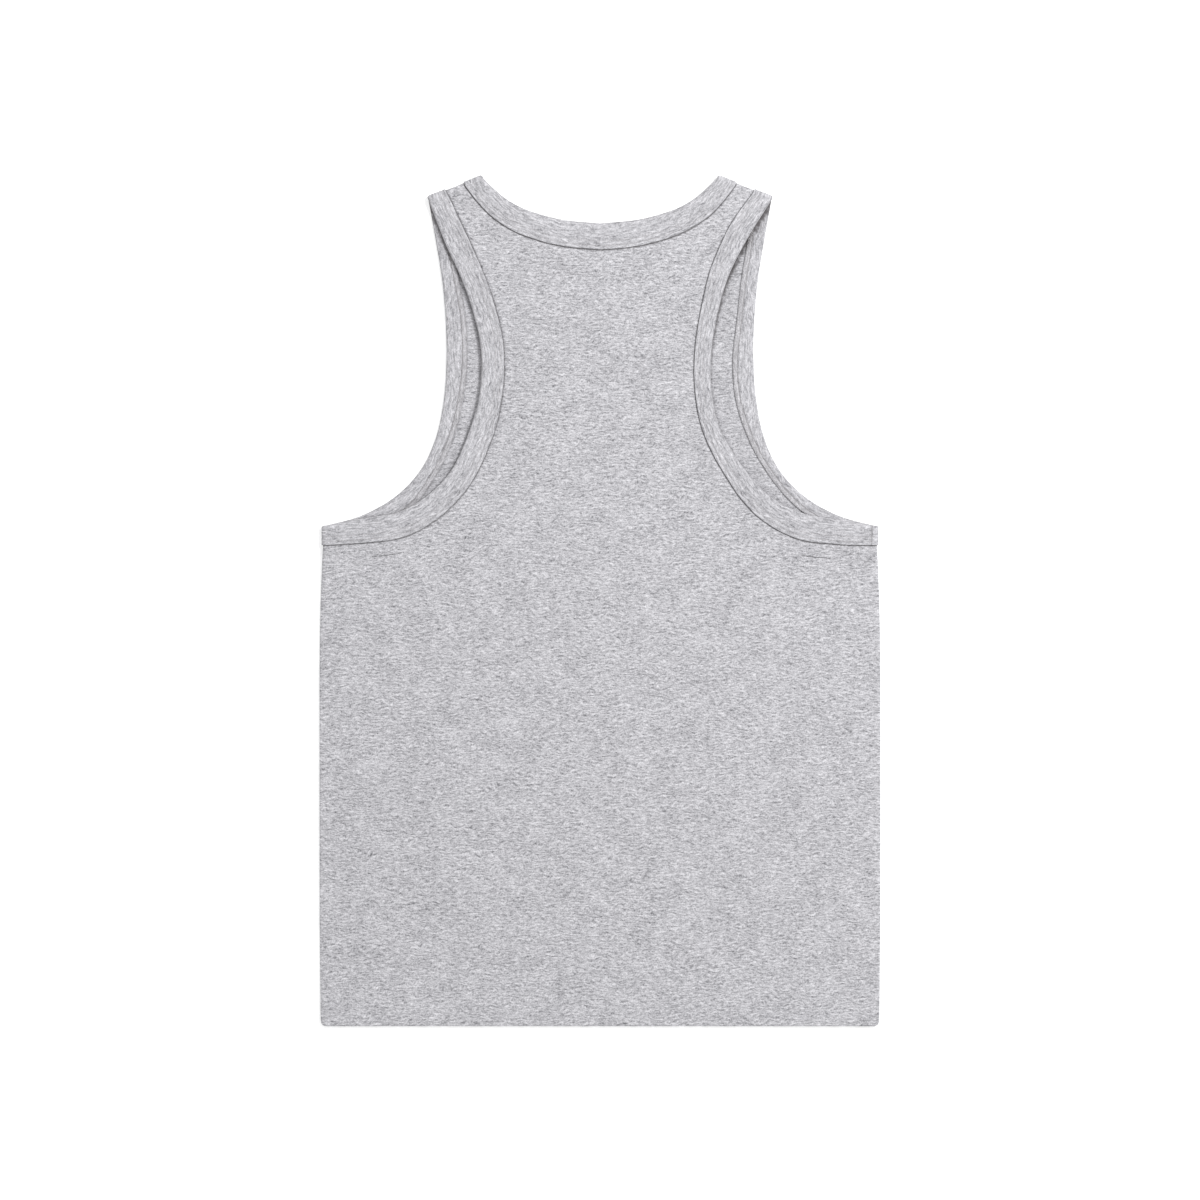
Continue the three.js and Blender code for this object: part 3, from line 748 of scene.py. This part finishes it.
def neck_band():
    every = np.arange(NECK_STEPS + 1)

    def edge(layer, half):
        return EDGES[layer, "neck", half]

    return Band([
        (edge("back", -1), "back", every[:0:-1]),
        (edge("back", 1), "back", every),
        (edge("back", 1), "back", NECK_STEPS, shoulder_outward(1), OVER),
        (edge("front", 1), "front", every[:0:-1]),
        (edge("front", -1), "front", every),
        (edge("back", -1), "back", NECK_STEPS, shoulder_outward(-1), OVER[::-1]),
    ])


STITCH_TAPER = 0.88
STITCH_BOW = 0.9
STITCH_SINK = 0.5


def stitches(starts, ends, ups, radius):
    """Short round stitches between pairs of points, raised in the middle and sunk at their ends."""
    rings, sides = 6, 6
    along = np.linspace(0, 1, rings)
    fullness = np.sqrt(1 - STITCH_TAPER * (2 * along - 1) ** 4)
    bow = np.sin(np.pi * along) * radius * STITCH_BOW - radius * STITCH_SINK
    way = unit(ends - starts)
    ups = unit(ups - (ups * way).sum(1, keepdims=True) * way)
    cross = np.cross(way, ups)
    turn = np.linspace(0, 2 * np.pi, sides, endpoint=False)
    centre = starts[:, None] + (ends - starts)[:, None] * along[None, :, None]
    centre = centre + ups[:, None] * bow[None, :, None]
    around = cross[:, None] * np.cos(turn)[None, :, None] + ups[:, None] * np.sin(turn)[None, :, None]
    verts = centre[:, :, None] + around[:, None] * (radius * fullness)[None, :, None, None]
    return verts.reshape(len(starts), -1, 3), rings, sides


def thread_object(name, groups, material):
    verts, faces, start = [], [], 0
    for points, rings, sides in groups:
        ring = np.arange(sides)
        quads = [
            [r * sides + a, r * sides + b, (r + 1) * sides + b, (r + 1) * sides + a]
            for r in range(rings - 1)
            for a, b in zip(ring, np.roll(ring, -1))
        ]
        caps = [list(ring[::-1]), list(ring + (rings - 1) * sides)]
        for k in range(len(points)):
            base = start + k * rings * sides
            faces += [[base + int(v) for v in face] for face in quads + caps]
        verts.append(points.reshape(-1, 3))
        start += len(points) * rings * sides
    verts = np.concatenate(verts)
    corner_uv = verts[[v for face in faces for v in face]][:, :2]
    return make_object(name, to_frame(verts), faces, corner_uv, material)


def along_loop(band, path, distances):
    """Points of a closed path over the band's rings, at distances along the loop."""
    closed = np.concatenate([path, path[:1]])
    return np.column_stack([np.interp(distances % band.run[-1], band.run, c) for c in closed.T])


def band_stitching(band, seam):
    """Two straight rows on the outside, and the looper's zigzag between the rows on the inside."""
    groups = []
    count = int(band.run[-1] / STITCH_PITCH)
    places = np.arange(count) * band.run[-1] / count
    length = band.run[-1] / count
    flat = np.zeros_like(seam)
    for inset in ROWS_OUTSIDE:
        n = (seam - inset)[:, None]
        level = BAND_LEVEL - THREAD_RADIUS * 1.5
        path = band.at(n, flat[:, None] + level)[:, 0]
        above = band.at(n, flat[:, None] + level + 1)[:, 0]
        a = along_loop(band, path, places + 0.12 * length)
        b = along_loop(band, path, places + 0.88 * length)
        halfway = places + 0.5 * length
        up = along_loop(band, above, halfway) - along_loop(band, path, halfway)
        groups.append(stitches(a, b, up, THREAD_RADIUS))
    wrong = band.leg_end
    level = -(BAND_LEVEL - 0.05)
    rows = [band.at((wrong - inset)[:, None], flat[:, None] + level)[:, 0] for inset in ROWS_INSIDE]
    above = band.at((wrong - ROWS_MIDDLE)[:, None], flat[:, None] + level - 1)[:, 0]
    middle_row = band.at((wrong - ROWS_MIDDLE)[:, None], flat[:, None] + level)[:, 0]
    up = along_loop(band, above, places) - along_loop(band, middle_row, places)
    near = along_loop(band, rows[0], places)
    far = along_loop(band, rows[1], places + 0.5 * length)
    groups.append(stitches(near, far, up, LOOPER_RADIUS))
    groups.append(stitches(far, along_loop(band, rows[0], places + length), up, LOOPER_RADIUS))
    for k, row in enumerate(rows):
        a = along_loop(band, row, places + (0.1 + 0.5 * k) * length)
        b = along_loop(band, row, places + (0.8 + 0.5 * k) * length)
        groups.append(stitches(a, b, up, LOOPER_RADIUS))
    return groups


def nodes_of(material):
    material.use_nodes = True
    tree = material.node_tree
    tree.nodes.clear()

    def add(kind, inputs=(), **settings):
        node = tree.nodes.new(kind)
        for key, value in settings.items():
            setattr(node, key, value)
        for key, value in dict(inputs).items():
            if isinstance(value, bpy.types.NodeSocket):
                tree.links.new(value, node.inputs[key])
            else:
                node.inputs[key].default_value = value
        return node

    return add


def math(add, operation, a, b=0.0):
    return add("ShaderNodeMath", {0: a, 1: b}, operation=operation).outputs[0]


def grain(add, place, cell, shift, detail):
    """Soft noise with cells of a given size in mm, along the course and along the wale."""
    scaled = add("ShaderNodeMapping", {"Vector": place, "Location": (shift, shift * 1.7, shift * 0.3),
                                       "Rotation": (0, 0, shift * 0.37),
                                       "Scale": (1 / cell[0], 1 / cell[1], 1)})
    noise = add("ShaderNodeTexNoise", {"Vector": scaled.outputs[0], "Scale": 1.0, "Detail": detail,
                                       "Roughness": 0.5}, noise_dimensions="2D")
    return math(add, "SUBTRACT", noise.outputs["Fac"], 0.5)


WALE = 0.85
COURSE = 0.68
PAINTED_SHADE = (0.085, 0.078, 0.080, 1)  # painted shade colour, mixed in along seams, stitch rows, fold rims and the gap under the back's edge
MOST_PAINTED_SHADE = 0.92  # the most of the painted shade colour that any spot takes
THREAD_DARK, THREAD_LIGHT = (0.36, 0.345, 0.352, 1), (0.6, 0.585, 0.597, 1)

# Cells in mm, and how far in mm each moves the grain, the painted shade lines and the edge of the
# painted shade in the gap
DRIFT_CELL, DRIFT = (15.0, 9.0), 4.5
SWAY_CELL, SWAY = (4.0, 4.0), 1.4
GAP_CELL, GAP_SWAY = (3.5, 5.0), 1.7
FUZZ_CELL, FUZZ = (2.4, 1.2), 0.45
KNIT, LOOPS, RIBS, LOOP_LEAN = 0.05, 0.5, 0.35, 1.4


def painted_shade_line(add, mark, sway, centre, width, depth):
    """How dark a painted shade line is that runs at a given value of a mark, in mm."""
    distance = add("ShaderNodeAttribute", attribute_name=mark).outputs["Fac"]
    off = math(add, "SUBTRACT", math(add, "ADD", distance, sway), centre)
    scaled = math(add, "DIVIDE", off, width)
    bell = math(add, "EXPONENT", math(add, "MULTIPLY", math(add, "MULTIPLY", scaled, scaled), -1.0))
    return math(add, "MULTIPLY", bell, depth)


def crevice_shade(add, place, shift):
    """Painted shade in the gap under the back layer's edge, on top of its real shading: dark at the
    edge, soft and uneven away from it.
    """
    distance = add("ShaderNodeAttribute", attribute_name="crevice").outputs["Fac"]
    depth = add("ShaderNodeAttribute", attribute_name="crevice_shade_depth").outputs["Fac"]
    sway = math(add, "MULTIPLY", grain(add, place, GAP_CELL, shift + 7, 1.0), GAP_SWAY)
    scaled = math(add, "MAXIMUM", math(add, "ADD", distance, sway), 0.0)
    bell = math(add, "EXPONENT", math(add, "MULTIPLY", math(add, "MULTIPLY", scaled, scaled), -1.0))
    return math(add, "MULTIPLY", bell, depth)


def jersey(name, dark, light, shift, grains, lines):
    """Heather jersey: short streaks of darker and lighter fibre along the courses, over knit loops,
    with painted shade mixed in along seams, stitch rows, fold rims and the gap under the back's edge.
    """
    material = bpy.data.materials.new(name)
    add = nodes_of(material)
    flat = add("ShaderNodeUVMap", uv_map="cloth").outputs["UV"]
    drift = math(add, "MULTIPLY", grain(add, flat, DRIFT_CELL, shift + 19, 1.0), DRIFT)
    moved = add("ShaderNodeCombineXYZ", {"Y": drift}).outputs[0]
    place = add("ShaderNodeVectorMath", {0: flat, 1: moved}, operation="ADD").outputs[0]
    total = 0.5
    for number, (cell, weight) in enumerate(grains):
        value = grain(add, place, cell, shift + 29 * number, 1.0)
        total = math(add, "ADD", math(add, "MULTIPLY", value, weight), total)
    clamp = add("ShaderNodeClamp", {"Value": total, "Min": -0.1, "Max": 1.1}).outputs[0]
    fibre = add("ShaderNodeMix", {"Factor": clamp, "A": dark, "B": light}, data_type="RGBA",
                clamp_factor=False).outputs["Result"]
    sway = math(add, "MULTIPLY", grain(add, flat, SWAY_CELL, shift + 43, 1.0), SWAY)
    # Painted shade: the gap under the back's edge and dark lines along seams, stitch rows and fold
    # rims, mixed towards the shade colour
    shade = crevice_shade(add, flat, shift)
    for mark, centre, width, depth in lines:
        shade = math(add, "ADD", shade, painted_shade_line(add, mark, sway, centre, width, depth))
    shade = add("ShaderNodeClamp", {"Value": shade, "Max": MOST_PAINTED_SHADE}).outputs[0]
    colour = add("ShaderNodeMix", {"Factor": shade, "A": fibre, "B": PAINTED_SHADE},
                 data_type="RGBA").outputs["Result"]
    split = add("ShaderNodeSeparateXYZ", {"Vector": place})
    wale = math(add, "MULTIPLY", split.outputs[0], 1 / WALE)
    lean = math(add, "ABSOLUTE", math(add, "SUBTRACT", math(add, "FRACT", wale), 0.5))
    course = math(add, "MULTIPLY", split.outputs[1], 1 / COURSE)
    loop = math(add, "ADD", course, math(add, "MULTIPLY", lean, LOOP_LEAN))
    loops = math(add, "SINE", math(add, "MULTIPLY", loop, 2 * np.pi))
    ribs = math(add, "SINE", math(add, "MULTIPLY", wale, 2 * np.pi))
    knit = math(add, "ADD", math(add, "MULTIPLY", loops, LOOPS), math(add, "MULTIPLY", ribs, RIBS))
    fuzz = grain(add, place, FUZZ_CELL, shift + 11, 3.0)
    height = math(add, "ADD", math(add, "MULTIPLY", knit, KNIT), math(add, "MULTIPLY", fuzz, FUZZ))
    bump = add("ShaderNodeBump", {"Height": height, "Strength": 0.6, "Distance": 0.001})
    shader = add("ShaderNodeBsdfPrincipled", {"Base Color": colour, "Normal": bump.outputs[0]})
    shader.inputs["Roughness"].default_value = 0.93
    shader.inputs["Specular IOR Level"].default_value = 0.18
    shader.inputs["Sheen Weight"].default_value = 0.12
    shader.inputs["Sheen Roughness"].default_value = 0.6
    add("ShaderNodeOutputMaterial", {"Surface": shader.outputs[0]})
    return material


def thread(name):
    material = bpy.data.materials.new(name)
    add = nodes_of(material)
    place = add("ShaderNodeUVMap", uv_map="cloth").outputs["UV"]
    tone = math(add, "ADD", math(add, "MULTIPLY", grain(add, place, (1.1, 0.7), 5.0, 1.0), 0.9), 0.5)
    colour = add("ShaderNodeMix", {"Factor": tone, "A": THREAD_DARK, "B": THREAD_LIGHT},
                 data_type="RGBA").outputs["Result"]
    shader = add("ShaderNodeBsdfPrincipled", {"Base Color": colour})
    shader.inputs["Roughness"].default_value = 0.7
    add("ShaderNodeOutputMaterial", {"Surface": shader.outputs[0]})
    return material


FLOOR_GLOW = 0.3  # keeps the floor white beside the garment


def floor_finish(name):
    material = bpy.data.materials.new(name)
    add = nodes_of(material)
    place = add("ShaderNodeTexCoord").outputs["Object"]
    noise = add("ShaderNodeTexNoise", {"Vector": place, "Scale": 3.0})
    colour = add("ShaderNodeMix", {"Factor": noise.outputs["Fac"], "A": (0.93, 0.93, 0.93, 1),
                                   "B": (0.95, 0.95, 0.95, 1)}, data_type="RGBA").outputs["Result"]
    shader = add("ShaderNodeBsdfPrincipled", {"Base Color": colour})
    shader.inputs["Roughness"].default_value = 0.9
    shader.inputs["Specular IOR Level"].default_value = 0.1
    shader.inputs["Emission Color"].default_value = (1, 1, 1, 1)
    shader.inputs["Emission Strength"].default_value = FLOOR_GLOW
    add("ShaderNodeOutputMaterial", {"Surface": shader.outputs[0]})
    return material


# Camera straight above, with the photograph's frame of 1032 mm
FRAME_WIDTH = 1.032
LENS = 100
SENSOR = 36
LOOK_AT = (0.0, 0.0006, 0.005)

camera_data = bpy.data.cameras.new("camera")
camera_data.lens = LENS
camera_data.sensor_width = SENSOR
camera = bpy.data.objects.new("camera", camera_data)
camera.location = (LOOK_AT[0], LOOK_AT[1], LOOK_AT[2] + FRAME_WIDTH * LENS / SENSOR)
bpy.context.collection.objects.link(camera)
bpy.context.scene.camera = camera

# Floor and light
FLOOR_HALF = 6.0
FLOOR_DROP = 0.0002
floor_mesh = bpy.data.meshes.new("floor")
corners = [(x * FLOOR_HALF, y * FLOOR_HALF, 0) for x, y in ((-1, -1), (1, -1), (1, 1), (-1, 1))]
floor_mesh.from_pydata(corners, [], [(0, 1, 2, 3)])
floor_mesh.materials.append(floor_finish("pale_floor"))
floor = bpy.data.objects.new("floor", floor_mesh)
floor.location.z = -FLOOR_DROP
bpy.context.collection.objects.link(floor)

KEY = {"place": (1.25, 1.0, 2.0), "size": 0.8, "power": 41.3}
SKY = 0.785

key_data = bpy.data.lights.new("key", "AREA")
key_data.shape = "DISK"
key_data.size = KEY["size"]
key_data.energy = KEY["power"]
key = bpy.data.objects.new("key", key_data)
key.location = KEY["place"]
key.rotation_euler = (-key.location).to_track_quat("-Z", "Y").to_euler()
bpy.context.collection.objects.link(key)

world = bpy.data.worlds.new("studio")
world.use_nodes = True
world.node_tree.nodes["Background"].inputs["Color"].default_value = (1.0, 1.0, 1.0, 1)
world.node_tree.nodes["Background"].inputs["Strength"].default_value = SKY
bpy.context.scene.world = world
bpy.context.scene.view_settings.view_transform = "Standard"

# Marks that carry a painted shade line along seam edges, stitch rows, fold rims and the tack: its
# place, half width and depth
BODY_SHADE_LINES = [("arm_seam", 0.3, 0.55, 0.66), ("neck_seam", 0.35, 0.65, 0.75),
              ("inner_seam", 0.3, 0.45, 0.08), ("rim", 0.0, 1.7, 0.3)]
TRIM_SHADE_LINES = [("outer_in", 0.0, 0.35, 0.2), ("outer_in", ROWS_OUTSIDE[0], 0.4, 0.2),
              ("outer_in", ROWS_OUTSIDE[1], 0.4, 0.1), ("inner_in", ROWS_INSIDE[0] - 0.3, 0.45, 0.3),
              ("inner_in", ROWS_INSIDE[1], 0.5, 0.5), ("rim", 0.0, 1.7, 0.3),
              ("end_line", TACK_INSET, 0.5, 0.5)]
# Cells of the grain along and across the courses, in mm, and their weights
BODY_GRAIN = [((3.6, 1.3), 1.02), ((10.0, 1.6), 0.72), ((1.3, 0.9), 1.0), ((30.0, 16.0), 0.25)]
TRIM_GRAIN = [((4.5, 1.4), 0.85), ((13.0, 1.5), 0.8), ((1.3, 0.9), 0.8), ((30.0, 9.0), 0.25)]
DARK, LIGHT = (0.20, 0.198, 0.212, 1), (0.70, 0.693, 0.722, 1)
BODY = jersey("heather_jersey", DARK, LIGHT, 3.0, BODY_GRAIN, BODY_SHADE_LINES)
TRIM = jersey("heather_binding", DARK, LIGHT, 17.0, TRIM_GRAIN, TRIM_SHADE_LINES)
THREAD = thread("grey_thread")

# Pieces
FRONT_SEED, BACK_SEED, WANDER_SEED = 100, 200, 300
WANDER = 0.5  # how far a band's seam strays in all
WANDER_PITCH = 11
WANDER_ENDS = (0, 20)  # over which it starts at the loop's ends

front_cloth = panel("front", "front_cloth", FRONT_SEED, BODY)
back_cloth = panel("back", "back_cloth", BACK_SEED, BODY)
bands = {
    "neck_band": neck_band(),
    "armhole_band_left": arm_band(-1),
    "armhole_band_right": arm_band(1),
}
bindings = {}
for number, (node, band) in enumerate(bands.items()):
    stray = uneven(band.run[-1], WANDER_PITCH, WANDER_SEED + number)(band.run[:-1]) - 0.5
    wander = WANDER * stray
    wander *= smooth(WANDER_ENDS, np.minimum(band.run[:-1], band.run[-1] - band.run[:-1]))
    outline = section(band.width, wander)
    rings = band.at(*outline)
    title = node.replace("band", "binding")
    seam = band.width + wander
    marks = band_marks(band, outline, seam, rings, node != "neck_band", node == "armhole_band_right")
    bindings[node] = ring_object(title, rings, band.run, TRIM, marks)
    thread_object(title + "_stitches", band_stitching(band, seam), THREAD)

# A short row of stitches holds the right binding's end at the side seam.
pit_band = bands["armhole_band_right"]
TACK_REACH = (1.6, 17.0)  # in from the folded edge
TACK_STITCHES = 8
TACK_GAP = 0.25  # share of each stitch left open
tack_n = np.linspace(*TACK_REACH, TACK_STITCHES + 1)
tack_ring = int(np.searchsorted(pit_band.run, TACK_INSET))
tack_line = pit_band.at(tack_n[None], np.full((1, len(tack_n)), BAND_LEVEL + 0.02),
                        slice(tack_ring, tack_ring + 1))[0]
tack_ends = tack_line[1:] - TACK_GAP * (tack_line[1:] - tack_line[:-1])
tack_ups = np.tile([0.0, 0.0, 1.0], (TACK_STITCHES, 1))
tack = stitches(tack_line[:-1], tack_ends, tack_ups, THREAD_RADIUS * 1.2)
pit_tack = thread_object("pit_tack", [tack], THREAD)

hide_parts("front_panel")
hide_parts("back_panel")
for node, binding in bindings.items():
    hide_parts(node)
